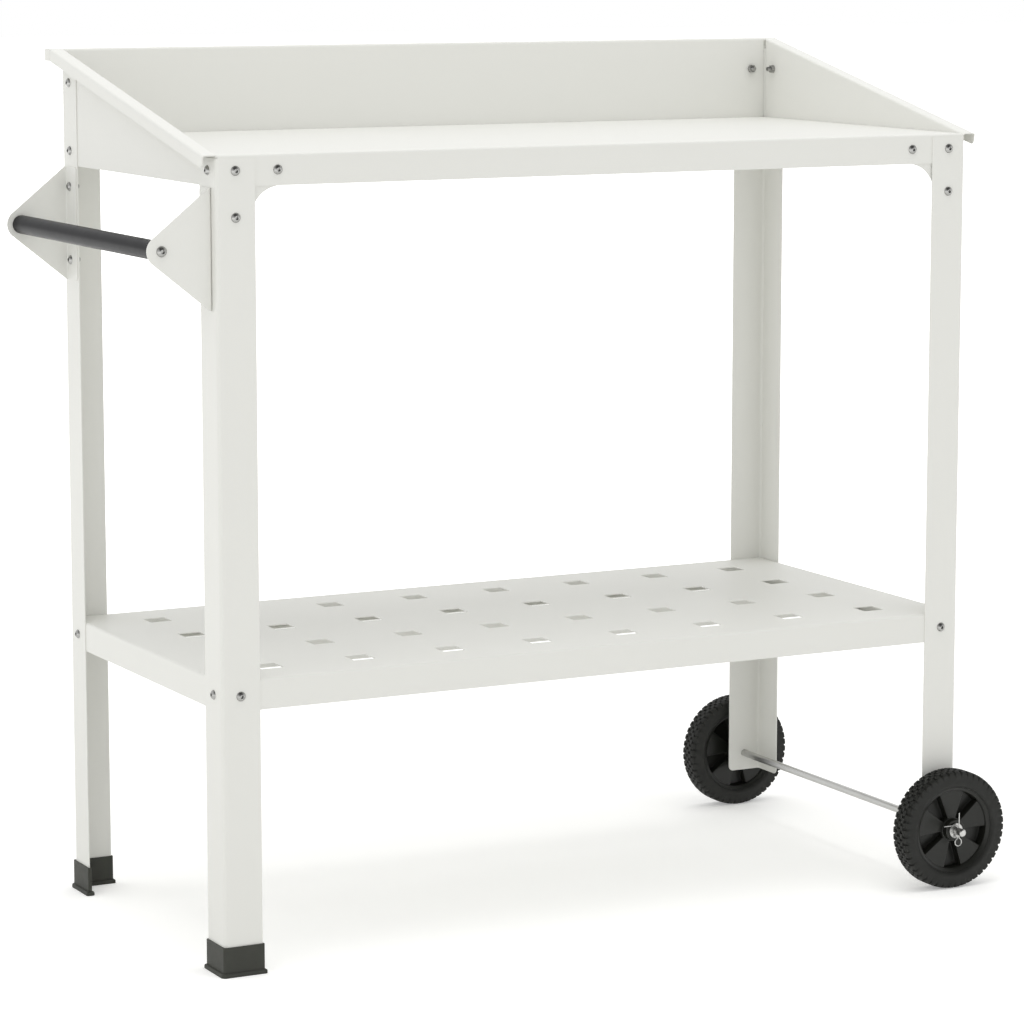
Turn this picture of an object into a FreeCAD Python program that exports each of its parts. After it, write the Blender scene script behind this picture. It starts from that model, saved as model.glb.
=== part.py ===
import FreeCAD, Part
import math
import os

Vector = FreeCAD.Vector

# All sizes are in millimetres. The wheels are at +X, the handle is at -X and the open front faces -Y.

# Frame and sheet
table_length = 840.0
table_depth = 400.0
sheet = 1.0
leg_flange = 40.0
leg_bend = 4.0
panel_bend = 2.5

# Tray, guards and gussets
rim_height = 880.0
guard_rise = 88.0
tray_skirt = 30.0
rim_reach = 13.0
rim_lip = 12.5
rim_corner = 4.0
guard_gap = 0.5
guard_bolt_drop = 34.0
gusset_bolt_pitch = 44.0
gusset_margin = 13.0
gusset_arc = 32.0
gusset_tuck = 4.0
gusset_setback = 6.0
gusset_corner = 3.0

# Lower shelf
shelf_height = 290.0
shelf_skirt = 30.0
shelf_return = 12.0
hole_side = 24.0
hole_pitch_length = 99.0
hole_pitch_depth = 95.0
hole_columns = 8
hole_rows = 4
stiffener_width = 30.0
stiffener_foot = 12.0

# Handle
handle_screw_reach = 51.0
bracket_tip = 15.0
bracket_height = 116.0
bracket_gap = 1.0
bracket_inset = 11.0
bracket_return = 27.0
bracket_corner = 4.0
bracket_bolt_pitch = 75.0
grip_diameter = 19.0
grip_wall = 1.5
plug_length = 20.0
screw_diameter = 6.0
screw_head_diameter = 10.5
screw_head_height = 3.3
screw_length = 16.0

# Bolts and nuts
bolt_diameter = 5.0
bolt_head_diameter = 9.5
bolt_head_height = 2.75
bolt_length = 10.0
head_crown_share = 0.5
nut_flats = 8.0
nut_height = 4.0
hole_clearance = 0.25
thread_clearance = 0.1

# Feet
foot_height = 29.5
foot_wall = 1.6
foot_corner = 2.0
sole_thickness = 4.2
sole_lip = 2.3
sole_corner = 2.2
sole_round = 1.8
foot_clearance = 0.1

# Wheels and axle
wheel_diameter = 126.0
wheel_width = 26.0
wheel_setback = 8.0
tyre_height = 17.5
tyre_fit = 0.1
rim_band = 4.0
disc_thickness = 13.0
pocket_depth = 10.0
pocket_count = 5
pocket_angle = 30.0
pocket_phase = 56.0
pocket_inner_share = 0.31
boss_diameter = 23.0
boss_chamfer = 1.5
axle_diameter = 8.0
axle_overhang = 49.0
axle_chamfer = 1.0
running_clearance = 0.08
leg_tail = 19.5
leg_tail_round = 5.5
washer_diameter = 16.0
washer_thickness = 1.6
washer_bore_clearance = 0.2
washer_gap = 0.3
lug_count = 24
lug_gap = 4.0
lug_depth = 2.0
lug_reach_share = 0.54
lug_stagger_share = 0.5

# Each row is a corner of the tyre's side: share of the tyre's height, share of half its width
tyre_side_shares = ((0.0, 0.80), (0.12, 1.0), (0.30, 0.92), (0.48, 0.96), (0.88, 0.95), (1.0, 0.78))

# Split pins
pin_wire = 1.3
pin_sides = 6
pin_gap = 0.05
pin_hole_clearance = 0.15
pin_setback = 9.5
pin_drop = 1.5
pin_neck = 3.0
pin_eye = 4.0
pin_rise = 20.0
pin_bend_rise = 7.0
pin_bend_reach = 18.0
pin_bend = 2.0

# Every cut runs past the material by this much
overrun = 5.0

# Places that follow from the sizes
wheel_radius = wheel_diameter / 2
axle_radius = axle_diameter / 2
bolt_radius = bolt_diameter / 2
grip_radius = grip_diameter / 2
flange_middle = leg_flange / 2
handle_reach = handle_screw_reach + bracket_tip
wheel_overhang = wheel_radius - flange_middle
x_left = (handle_reach - table_length - wheel_overhang) / 2
x_right = x_left + table_length
y_front = -table_depth / 2
y_back = table_depth / 2
tray_height = rim_height - guard_rise
tray_bottom = tray_height - tray_skirt
handle_height = tray_bottom - bracket_gap - bracket_height / 2
shelf_bottom = shelf_height - shelf_skirt
axle_x = x_right - flange_middle
axle_height = wheel_radius
tray_bolt_height = tray_height - tray_skirt / 2
shelf_bolt_height = shelf_height - shelf_skirt / 2
guard_bolt_height = rim_height - guard_bolt_drop
rim_start = y_front + sheet
rim_end = y_back - 2 * sheet
rim_slope = math.atan2(rim_height - tray_height, rim_end - rim_start)
along_rim = Vector(0, math.cos(rim_slope), math.sin(rim_slope))
down_rim = Vector(0, math.sin(rim_slope), -math.cos(rim_slope))
leg_top_drop = panel_bend / math.cos(rim_slope) + guard_gap
front_leg_top = tray_height - leg_top_drop
back_leg_top = rim_height - leg_flange * math.tan(rim_slope) - leg_top_drop

corners = {
    "front_left": (x_left, y_front, 1, 1),
    "front_right": (x_right, y_front, -1, 1),
    "back_left": (x_left, y_back, 1, -1),
    "back_right": (x_right, y_back, -1, -1),
}


def rounded_outline(points, radii):
    """Closed wire through the points, each corner rounded to its own radius."""
    turns = []
    for index, point in enumerate(points):
        before = (points[index - 1] - point).normalize()
        after = (points[(index + 1) % len(points)] - point).normalize()
        radius = radii[index]
        if radius <= 0:
            turns.append((point, None, point))
            continue
        half = before.getAngle(after) / 2
        run = radius / math.tan(half)
        inward = (before + after).normalize()
        middle = point + inward * (radius / math.sin(half) - radius)
        turns.append((point + before * run, middle, point + after * run))
    edges = []
    for index, (start, middle, end) in enumerate(turns):
        if middle is not None:
            edges.append(Part.Arc(start, middle, end).toShape())
        following = turns[(index + 1) % len(turns)][0]
        if not end.isEqual(following, Part.Vertex(end).Tolerance):
            edges.append(Part.LineSegment(end, following).toShape())
    return Part.Wire(edges)


def prism(points, radii, along):
    """Solid made by pushing a rounded outline along a vector."""
    return Part.Face(rounded_outline(points, radii)).extrude(along)


def folded_sheet(outer, inner, bend, along):
    """Folded sheet: outer and inner fold lines, with round bends of one sheet's thickness."""
    outer_radii = [0] + [bend] * (len(outer) - 2) + [0]
    inner_radii = [0] + [bend - sheet] * (len(inner) - 2) + [0]
    return prism(outer + inner[::-1], outer_radii + inner_radii[::-1], along)


def box(low, high):
    """Box between two opposite corners."""
    size = high - low
    return Part.makeBox(size.x, size.y, size.z, low)


def round_edges(shape, radius, chosen):
    """Round every edge that the test accepts."""
    edges = [edge for edge in shape.Edges if chosen(edge)]
    return shape.makeFillet(radius, edges)


def at_level(height):
    """Test for edges that lie flat at one height."""
    def chosen(edge):
        return all(abs(vertex.Z - height) < sheet / 2 for vertex in edge.Vertexes)
    return chosen


def one_solid(pieces):
    """Join touching solids to one solid with clean faces."""
    return pieces[0].fuse(pieces[1:]).removeSplitter()


def mirror_depth(shape):
    """Copy of a front piece for the back of the table."""
    return shape.mirror(Vector(0, 0, 0), Vector(0, 1, 0))


def mirror_length(shape):
    """Copy of a left piece for the right end of the table."""
    return shape.mirror(Vector((x_left + x_right) / 2, 0, 0), Vector(1, 0, 0))


def save(name, solids):
    """Write one named piece, or a group of like pieces, to its own file."""
    shape = solids[0] if len(solids) == 1 else Part.makeCompound(solids)
    shape.exportStep(os.path.join("parts", name + ".step"))


# Every bolt place holds the point under its head, the way its shank goes and the sheets it clamps
tray_places = []
shelf_places = []
gusset_places = []
for x_face, y_face, x_way, y_way in corners.values():
    end_bolt = Vector(x_face, y_face + y_way * flange_middle, 0)
    side_bolt = Vector(x_face + x_way * flange_middle, y_face, 0)
    inwards = Vector(x_way, 0, 0)
    across = Vector(0, y_way, 0)
    for point, way in ((end_bolt, inwards), (side_bolt, across)):
        tray_places.append((point + Vector(0, 0, tray_bolt_height), way, 3 * sheet))
        shelf_places.append((point + Vector(0, 0, shelf_bolt_height), way, 2 * sheet))
        if y_face == y_back:
            tray_places.append((point + Vector(0, 0, guard_bolt_height), way, 2 * sheet))
    if y_face == y_front:
        apron_bolt = side_bolt + Vector(x_way * gusset_bolt_pitch, sheet, tray_bolt_height)
        leg_bolt = side_bolt + Vector(0, 0, tray_bolt_height - gusset_bolt_pitch)
        gusset_places.append((apron_bolt, across, 2 * sheet))
        gusset_places.append((leg_bolt, across, 3 * sheet))

bracket_places = []
for y_bolt in (y_front + flange_middle, y_back - flange_middle):
    for z_way in (-1, 1):
        z_bolt = handle_height + z_way * bracket_bolt_pitch / 2
        bracket_places.append((Vector(x_left - sheet, y_bolt, z_bolt), Vector(1, 0, 0), 2 * sheet))

holes = []
for point, way, clamped in tray_places + shelf_places + gusset_places + bracket_places:
    start = point - way * overrun
    holes.append(Part.makeCylinder(bolt_radius + hole_clearance, clamped + 2 * overrun, start, way))
bolt_holes = Part.makeCompound(holes)


def screw_solid(diameter, head_diameter, head_height, length):
    """Button-head screw: its head sits below z = 0 and its shank runs up from there."""
    radius = diameter / 2
    head_radius = head_diameter / 2
    spots = (
        (0, -head_height),
        (head_radius * head_crown_share, -head_height),
        (head_radius, 0),
        (radius, 0),
        (radius, length),
        (0, length),
        (0, -head_height),
    )
    section = Part.makePolygon([Vector(out, 0, z) for out, z in spots])
    return Part.Face(section).revolve(Vector(0, 0, 0), Vector(0, 0, 1), 360)


def nut_solid():
    """Hexagon nut standing on z = 0."""
    radius = nut_flats / math.sqrt(3)
    points = []
    for step in range(6):
        angle = math.radians(60 * step)
        points.append(Vector(radius * math.cos(angle), radius * math.sin(angle), 0))
    body = prism(points, [0] * len(points), Vector(0, 0, nut_height))
    bore_radius = bolt_radius + thread_clearance
    return body.cut(Part.makeCylinder(bore_radius, nut_height + 2 * overrun, Vector(0, 0, -overrun)))


def set_at(shape, point, way):
    """Copy of a shape with its own z axis turned along a direction, moved to a point."""
    copy = shape.copy()
    copy.Placement = FreeCAD.Placement(point, FreeCAD.Rotation(Vector(0, 0, 1), way))
    return copy


def angle_points(corner, grow, height):
    """Corners of a leg's angle section, grown by an even margin all round."""
    x_face, y_face, x_way, y_way = corner
    inner = sheet + grow
    end = leg_flange + grow
    spots = ((-grow, -grow), (end, -grow), (end, inner), (inner, inner), (inner, end), (-grow, end))
    return [Vector(x_face + x_way * x, y_face + y_way * y, height) for x, y in spots]


def angle_solid(corner, grow, corner_round, end_round, bottom, top):
    """Upright bar with a leg's angle section, grown by a margin."""
    inner_round = max(leg_bend - sheet - grow, 0)
    radii = [corner_round, end_round, end_round, inner_round, end_round, end_round]
    return prism(angle_points(corner, grow, bottom), radii, Vector(0, 0, top - bottom))


# Legs: the left ones stand in feet, the right ones end below the axle
legs = {}
for name, corner in corners.items():
    x_face, y_face, x_way, y_way = corner
    leg_top = front_leg_top if y_face == y_front else back_leg_top
    if x_face == x_left:
        leg = angle_solid(corner, 0, leg_bend, 0, sole_thickness, leg_top)
    else:
        leg_end = axle_height - leg_tail
        leg = angle_solid(corner, 0, leg_bend, 0, leg_end, leg_top)
        long_end = Vector(x_face + x_way * leg_flange, y_face, leg_end)
        short_end = Vector(x_face, y_face + y_way * leg_flange, leg_end)

        def at_free_end(edge):
            if edge.Length > 2 * sheet:
                return False
            return any(edge.CenterOfMass.isEqual(end, sheet) for end in (long_end, short_end))

        leg = round_edges(leg, leg_tail_round, at_free_end)
        axle_hole_start = Vector(axle_x, y_face - y_way * overrun, axle_height)
        hole_radius = axle_radius + running_clearance
        leg = leg.cut(Part.makeCylinder(hole_radius, 2 * overrun, axle_hole_start, Vector(0, y_way, 0)))
    legs[name] = leg.cut(bolt_holes)


def pan(low, high):
    """Upside-down pan: a flat top with folded skirts, square at its four corners."""
    outer = round_edges(box(low, high), panel_bend, at_level(high.z))
    margin = Vector(sheet, sheet, 0)
    hollow_top = Vector(high.x - sheet, high.y - sheet, high.z - sheet)
    hollow = box(low + margin, hollow_top)
    hollow = round_edges(hollow, panel_bend - sheet, at_level(hollow_top.z))
    return outer.cut(hollow)


def corner_reliefs(bottom, top):
    """Square posts that clear the round inner bend of each leg."""
    posts = []
    for x_face, y_face, x_way, y_way in corners.values():
        reach_x = x_face + x_way * leg_bend
        reach_y = y_face + y_way * leg_bend
        low = Vector(min(x_face, reach_x), min(y_face, reach_y), bottom)
        high = Vector(max(x_face, reach_x), max(y_face, reach_y), top)
        posts.append(box(low, high))
    return Part.makeCompound(posts)


# Tray
tray_low = Vector(x_left + 2 * sheet, y_front + sheet, tray_bottom)
tray_high = Vector(x_right - 2 * sheet, y_back - 2 * sheet, tray_height)
tray = pan(tray_low, tray_high)
tray = tray.cut(corner_reliefs(tray_bottom - overrun, front_leg_top))
tray = tray.cut(bolt_holes)

# Side guards: an upright wall whose slanted top folds out and down as a rim
wall_face = x_left + sheet
wall_front = y_front + leg_bend
wall_back = y_back - leg_bend
fold_drop = panel_bend / math.cos(rim_slope)


def rim_level(y):
    """Height of the side rim's top at a place along the depth."""
    return tray_height + (y - rim_start) * math.tan(rim_slope)


wall_corners = [
    Vector(wall_face, wall_front, tray_bottom),
    Vector(wall_face, wall_back, tray_bottom),
    Vector(wall_face, wall_back, rim_level(wall_back) - fold_drop),
    Vector(wall_face, wall_front, rim_level(wall_front) - fold_drop),
]
side_wall = prism(wall_corners, [0] * len(wall_corners), Vector(sheet, 0, 0))

rim_outer_line = ((x_left + 2 * sheet, panel_bend), (x_left + 2 * sheet, 0), (x_left - rim_reach, 0))
rim_outer_line += ((x_left - rim_reach, rim_lip),)
rim_inner_line = ((x_left + sheet, panel_bend), (x_left + sheet, sheet), (x_left - rim_reach + sheet, sheet))
rim_inner_line += ((x_left - rim_reach + sheet, rim_lip),)
rim_root = Vector(0, rim_start, tray_height)
rim_outer = [rim_root + Vector(x, 0, 0) + down_rim * drop for x, drop in rim_outer_line]
rim_inner = [rim_root + Vector(x, 0, 0) + down_rim * drop for x, drop in rim_inner_line]
rim_run = (rim_end - rim_start) / math.cos(rim_slope)
side_rim = folded_sheet(rim_outer, rim_inner, panel_bend, along_rim * rim_run)
behind = Vector(x_left - rim_reach - overrun, rim_end - guard_gap, tray_bottom)
side_rim = side_rim.cut(box(behind, Vector(x_left + leg_flange, y_back + rim_reach, rim_height + overrun)))
lip_end = rim_root + Vector(x_left - rim_reach + sheet / 2, 0, 0) + down_rim * rim_lip
side_rim = round_edges(side_rim, rim_corner, lambda edge: edge.CenterOfMass.isEqual(lip_end, sheet / 2))
left_guard = one_solid([side_wall, side_rim])
right_guard = mirror_length(left_guard).cut(bolt_holes)
left_guard = left_guard.cut(bolt_holes)

# Back guard: the same wall with a level rim, as long as both side rims reach and closed at its ends
back_low = Vector(x_left + leg_bend, rim_end, tray_bottom)
back_high = Vector(x_right - leg_bend, y_back - sheet, rim_height - panel_bend)
back_wall = box(back_low, back_high)
rim_low = x_left - rim_reach
back_outer_line = ((rim_end, panel_bend), (rim_end, 0), (y_back + rim_reach, 0))
back_outer_line += ((y_back + rim_reach, rim_lip),)
back_inner_line = ((y_back - sheet, panel_bend), (y_back - sheet, sheet))
back_inner_line += ((y_back + rim_reach - sheet, sheet), (y_back + rim_reach - sheet, rim_lip))
back_outer = [Vector(rim_low, y, rim_height - drop) for y, drop in back_outer_line]
back_inner = [Vector(rim_low, y, rim_height - drop) for y, drop in back_inner_line]
back_rim = folded_sheet(back_outer, back_inner, panel_bend, Vector(table_length + 2 * rim_reach, 0, 0))
cap_line = (
    (rim_end, rim_height - rim_lip, 0),
    (rim_end, rim_height, panel_bend),
    (y_back + rim_reach, rim_height, panel_bend),
    (y_back + rim_reach, rim_height - rim_lip, 0),
)
cap_points = [Vector(rim_low, y, z) for y, z, radius in cap_line]
left_cap = prism(cap_points, [radius for y, z, radius in cap_line], Vector(sheet, 0, 0))
back_guard = one_solid([back_wall, back_rim, left_cap, mirror_length(left_cap)]).cut(bolt_holes)

# Gussets: an angle plate behind the apron and the leg, with a concave inner edge
gusset_face = y_front + 2 * sheet
gusset_top = tray_height - panel_bend - gusset_corner
arm_end = x_left + flange_middle + gusset_bolt_pitch + gusset_margin
tail_end = tray_bolt_height - gusset_bolt_pitch - gusset_margin
tail_edge = x_left + leg_flange - gusset_tuck
gusset_line = (
    (x_left + gusset_setback, gusset_top, gusset_corner),
    (arm_end, gusset_top, gusset_corner),
    (arm_end, tray_bottom, gusset_corner),
    (tail_edge, tray_bottom, gusset_arc),
    (tail_edge, tail_end, gusset_corner),
    (x_left + gusset_setback, tail_end, gusset_corner),
)
gusset_points = [Vector(x, gusset_face, z) for x, z, radius in gusset_line]
left_gusset = prism(gusset_points, [radius for x, z, radius in gusset_line], Vector(0, sheet, 0))
right_gusset = mirror_length(left_gusset).cut(bolt_holes)
left_gusset = left_gusset.cut(bolt_holes)

# Lower shelf: a pan with inward returns and a grid of square holes
shelf_low = Vector(x_left + sheet, y_front + sheet, shelf_bottom)
shelf_high = Vector(x_right - sheet, y_back - sheet, shelf_height)
shelf_shell = pan(shelf_low, shelf_high)
return_low = shelf_low + Vector(sheet, sheet, 0)
return_high = Vector(shelf_high.x - sheet, shelf_high.y - sheet, shelf_bottom + sheet)
opening_low = return_low + Vector(shelf_return, shelf_return, -overrun)
opening_high = return_high + Vector(-shelf_return, -shelf_return, overrun)
return_ring = box(return_low, return_high).cut(box(opening_low, opening_high))
shelf = one_solid([shelf_shell, return_ring])
shelf = shelf.cut(corner_reliefs(shelf_bottom - overrun, shelf_height + overrun))
table_middle = (x_left + x_right) / 2
shelf_holes = []
for column in range(hole_columns):
    for row in range(hole_rows):
        x_hole = table_middle + (column - (hole_columns - 1) / 2) * hole_pitch_length
        y_hole = (row - (hole_rows - 1) / 2) * hole_pitch_depth
        middle = Vector(x_hole, y_hole, shelf_height)
        to_corner = Vector(hole_side / 2, hole_side / 2, overrun)
        shelf_holes.append(box(middle - to_corner, middle + to_corner))
shelf = shelf.cut(Part.makeCompound(shelf_holes)).cut(bolt_holes)

# Shelf stiffener: a hat channel along the middle, its feet under the shelf's sheet
hat_top = shelf_height - sheet
hat_bottom = shelf_bottom + sheet
hat_half = stiffener_width / 2
hat_foot = hat_half + stiffener_foot
hat_line = (
    (-hat_foot, hat_top, 0),
    (-hat_half + sheet, hat_top, panel_bend),
    (-hat_half + sheet, hat_bottom + sheet, panel_bend - sheet),
    (hat_half - sheet, hat_bottom + sheet, panel_bend - sheet),
    (hat_half - sheet, hat_top, panel_bend),
    (hat_foot, hat_top, 0),
    (hat_foot, hat_top - sheet, 0),
    (hat_half, hat_top - sheet, panel_bend - sheet),
    (hat_half, hat_bottom, panel_bend),
    (-hat_half, hat_bottom, panel_bend),
    (-hat_half, hat_top - sheet, panel_bend - sheet),
    (-hat_foot, hat_top - sheet, 0),
)
hat_start = x_left + sheet + panel_bend
hat_points = [Vector(hat_start, y, z) for y, z, radius in hat_line]
hat_run = table_length - 2 * sheet - 2 * panel_bend
stiffener = prism(hat_points, [radius for y, z, radius in hat_line], Vector(hat_run, 0, 0))

# Handle brackets: a folded plate, its outline a triangle with a round tip
plate_face = y_front + bracket_inset
plate_low = handle_height - bracket_height / 2
fold_corner = Vector(x_left, plate_face, plate_low)
tip_reach = Vector(-handle_reach - overrun, 0, 0)
return_reach = Vector(0, bracket_return, 0)
bracket_outer = [fold_corner + tip_reach, fold_corner, fold_corner + return_reach]
steps_in = (Vector(0, sheet, 0), Vector(-sheet, sheet, 0), Vector(-sheet, 0, 0))
bracket_inner = [point + step for point, step in zip(bracket_outer, steps_in)]
bracket = folded_sheet(bracket_outer, bracket_inner, panel_bend, Vector(0, 0, bracket_height))

half_height = bracket_height / 2
tip_run = handle_screw_reach - panel_bend
edge_angle = math.atan2(half_height, tip_run) - math.asin(bracket_tip / math.hypot(half_height, tip_run))
apex_run = half_height / math.tan(edge_angle)
plate_line = (
    (overrun, half_height, 0),
    (-panel_bend, half_height, bracket_corner),
    (-panel_bend - apex_run, 0, bracket_tip),
    (-panel_bend, -half_height, bracket_corner),
    (overrun, -half_height, 0),
)
plate_start = plate_face - overrun
plate_points = [Vector(x_left + x, plate_start, handle_height + z) for x, z, radius in plate_line]
plate_run = Vector(0, bracket_return + 2 * overrun, 0)
plate_prism = prism(plate_points, [radius for x, z, radius in plate_line], plate_run)
return_line = (
    (-overrun, -half_height, 0),
    (bracket_return, -half_height, bracket_corner),
    (bracket_return, half_height, bracket_corner),
    (-overrun, half_height, 0),
)
return_start = x_left - handle_reach - overrun
return_points = [Vector(return_start, plate_face + y, handle_height + z) for y, z, radius in return_line]
return_run = Vector(handle_reach + 2 * overrun, 0, 0)
return_prism = prism(return_points, [radius for y, z, radius in return_line], return_run)
screw_x = x_left - handle_screw_reach
screw_start = Vector(screw_x, plate_face - overrun, handle_height)
screw_radius = screw_diameter / 2
screw_hole = Part.makeCylinder(screw_radius + hole_clearance, 2 * overrun, screw_start, Vector(0, 1, 0))
front_bracket = bracket.common(plate_prism).common(return_prism).cut(screw_hole).cut(bolt_holes)
back_bracket = mirror_depth(front_bracket)

# Handle grip: a tube between the brackets, with a threaded plug in each end
grip_start = Vector(screw_x, plate_face + sheet, handle_height)
grip_length = -2 * grip_start.y
grip = Part.makeCylinder(grip_radius, grip_length, grip_start, Vector(0, 1, 0))
grip_bore = Part.makeCylinder(grip_radius - grip_wall, grip_length, grip_start, Vector(0, 1, 0))
grip = grip.cut(grip_bore)
plug_radius = grip_radius - grip_wall - thread_clearance
plug = Part.makeCylinder(plug_radius, plug_length, grip_start, Vector(0, 1, 0))
plug_bore = Part.makeCylinder(screw_radius + thread_clearance, plug_length, grip_start, Vector(0, 1, 0))
front_plug = plug.cut(plug_bore)
handle_screw = screw_solid(screw_diameter, screw_head_diameter, screw_head_height, screw_length)
front_screw = set_at(handle_screw, Vector(screw_x, plate_face, handle_height), Vector(0, 1, 0))


def foot_solid(corner):
    """Shoe for a leg's end: walls on both sides of the angle, on a wider sole with a round upper edge."""
    sole = angle_solid(corner, foot_wall + sole_lip, foot_corner + sole_lip, sole_corner, 0, sole_thickness)
    sole = round_edges(sole, sole_round, at_level(sole_thickness))
    wall = angle_solid(corner, foot_wall, foot_corner, foot_wall / 2, sole_thickness, foot_height)
    socket_corner = leg_bend + foot_clearance
    socket = angle_solid(corner, foot_clearance, socket_corner, 0, sole_thickness, foot_height + overrun)
    return one_solid([sole, wall]).cut(socket)


def wheel_spot(radius, out):
    """Point of the front wheel's section: distance from the axle, distance out from the leg's face."""
    return Vector(axle_x + radius, y_front - out, axle_height)


def spun(spots, turn):
    """Front wheel piece turned from its section about the axle, by so many degrees."""
    points = [wheel_spot(radius, out) for radius, out in spots]
    section = Part.Face(Part.makePolygon(points + points[:1]))
    return section.revolve(wheel_spot(0, 0), Vector(0, 1, 0), turn)


# Wheel hub: a boss and a rim band, joined by a web that steps in and out by turns
wheel_middle = wheel_setback + wheel_width / 2
seat_radius = wheel_radius - tyre_height
hub_in = washer_gap + washer_thickness + washer_gap
hub_out = wheel_setback + wheel_width
disc_in = wheel_middle - disc_thickness / 2
disc_out = wheel_middle + disc_thickness / 2
band_half = wheel_width / 2 * tyre_side_shares[0][1]
band_in = wheel_middle - band_half
band_out = wheel_middle + band_half
band_radius = seat_radius - rim_band
boss_radius = boss_diameter / 2
bore_radius = axle_radius + running_clearance
hub_spots = [
    (bore_radius, hub_in),
    (boss_radius - boss_chamfer, hub_in),
    (boss_radius, hub_in + boss_chamfer),
    (boss_radius, disc_in),
    (band_radius, disc_in),
    (band_radius, band_in),
    (seat_radius, band_in),
    (seat_radius, band_out),
    (band_radius, band_out),
    (band_radius, disc_out),
    (boss_radius, disc_out),
    (boss_radius, hub_out - boss_chamfer),
    (boss_radius - boss_chamfer, hub_out),
    (bore_radius, hub_out),
]
hub = spun(hub_spots, 360)

pocket_inner = band_radius * pocket_inner_share


def ring_spot(radius, degrees, out):
    """Point on a circle round the axle, counted from +X towards +Z."""
    angle = math.radians(degrees)
    return wheel_spot(radius * math.cos(angle), out) + Vector(0, 0, radius * math.sin(angle))


def pocket_solid(start, depth):
    """Sector between two circles, for one pocket."""
    half = pocket_angle / 2
    low_in = ring_spot(pocket_inner, -half, start)
    low_out = ring_spot(band_radius, -half, start)
    high_out = ring_spot(band_radius, half, start)
    high_in = ring_spot(pocket_inner, half, start)
    edges = [
        Part.LineSegment(low_in, low_out).toShape(),
        Part.Arc(low_out, ring_spot(band_radius, 0, start), high_out).toShape(),
        Part.LineSegment(high_out, high_in).toShape(),
        Part.Arc(high_in, ring_spot(pocket_inner, 0, start), low_in).toShape(),
    ]
    return Part.Face(Part.Wire(edges)).extrude(Vector(0, -depth, 0))


half_pitch = 180 / pocket_count
pockets = []
for start, turn in ((disc_in, pocket_phase + half_pitch), (disc_out - pocket_depth, pocket_phase)):
    pocket = pocket_solid(start, pocket_depth)
    for step in range(pocket_count):
        copy = pocket.copy()
        copy.rotate(wheel_spot(0, 0), Vector(0, -1, 0), turn + 2 * step * half_pitch)
        pockets.append(copy)
front_hub = hub.cut(Part.makeCompound(pockets))
rear_hub = mirror_depth(front_hub)
rear_hub.rotate(wheel_spot(0, 0), Vector(0, -1, 0), half_pitch)

# Tyre: a beaded section with staggered lugs cut over both shoulders
tyre_spots = []
for rise, width in tyre_side_shares:
    lift = tyre_fit if rise == 0 else 0
    tyre_spots.append((seat_radius + rise * tyre_height + lift, wheel_middle + width * wheel_width / 2))
other_side = [(radius, 2 * wheel_middle - out) for radius, out in tyre_spots]
tyre = spun(tyre_spots + other_side[::-1], 360)

gaps = []
gap_run = wheel_width * lug_reach_share
gap_floor = wheel_radius - lug_depth
gap_roof = wheel_radius + overrun
gap_turn = math.degrees(lug_gap / wheel_radius)
shoulder_rise, shoulder_share = tyre_side_shares[-2]
crown_share = tyre_side_shares[-1][1]
shoulder_floor = seat_radius + shoulder_rise * tyre_height - lug_depth
for side, offset in ((1, 0), (-1, lug_stagger_share)):
    edge_out = wheel_middle + side * (wheel_width / 2 + overrun)
    reach_out = wheel_middle + side * (wheel_width / 2 - gap_run)
    gap_spots = (
        (gap_floor, reach_out),
        (gap_floor, wheel_middle + side * crown_share * wheel_width / 2),
        (shoulder_floor, wheel_middle + side * shoulder_share * wheel_width / 2),
        (shoulder_floor, edge_out),
        (gap_roof, edge_out),
        (gap_roof, reach_out),
    )
    gap = spun(gap_spots, gap_turn)
    for step in range(lug_count):
        copy = gap.copy()
        copy.rotate(wheel_spot(0, 0), Vector(0, 1, 0), (step + offset) * 360 / lug_count)
        gaps.append(copy)
front_tyre = tyre.cut(Part.makeCompound(gaps))

# Axle with a cross hole at each end for its split pin
axle_half = table_depth / 2 + axle_overhang
axle_start = Vector(axle_x, -axle_half, axle_height)
axle = Part.makeCylinder(axle_radius, 2 * axle_half, axle_start, Vector(0, 1, 0))
axle = axle.makeChamfer(axle_chamfer, [edge for edge in axle.Edges if len(edge.Vertexes) == 1])
leg_offset = pin_wire / 2 + pin_gap
pin_hole_radius = leg_offset + pin_wire / 2 + pin_hole_clearance
pin_y = -axle_half + pin_setback
for y_hole in (pin_y, -pin_y):
    hole_start = Vector(axle_x, y_hole, axle_height - axle_radius - overrun)
    axle = axle.cut(Part.makeCylinder(pin_hole_radius, axle_diameter + 2 * overrun, hole_start))


def washer(inner_face):
    """Washer on the front end of the axle, its inner face so far out from the leg."""
    start = wheel_spot(0, inner_face)
    outwards = Vector(0, -1, 0)
    ring = Part.makeCylinder(washer_diameter / 2, washer_thickness, start, outwards)
    bore = Part.makeCylinder(axle_radius + washer_bore_clearance, washer_thickness, start, outwards)
    return ring.cut(bore)


front_washers = [washer(washer_gap), washer(hub_out + washer_gap)]

# Split pin: one wire from the straight leg, down and round the eye, up to the bent leg
neck_level = axle_height - axle_radius - pin_drop
neck_reach = leg_offset + pin_neck
eye_drop = math.sqrt((pin_neck + pin_eye) ** 2 - neck_reach ** 2)
eye_level = neck_level - eye_drop
neck_angle = math.atan2(eye_drop, neck_reach)
meet_x = neck_reach * pin_eye / (pin_neck + pin_eye)
meet_z = eye_level + eye_drop * pin_eye / (pin_neck + pin_eye)
bow_x = neck_reach - pin_neck * math.cos(neck_angle / 2)
bow_z = neck_level - pin_neck * math.sin(neck_angle / 2)
bend_level = axle_height + pin_bend_rise
bend_mid = pin_bend * math.sin(math.pi / 4)


def pin_spot(x, z):
    """Point in the upright plane of the front split pin."""
    return Vector(axle_x + x, pin_y, z)


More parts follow.
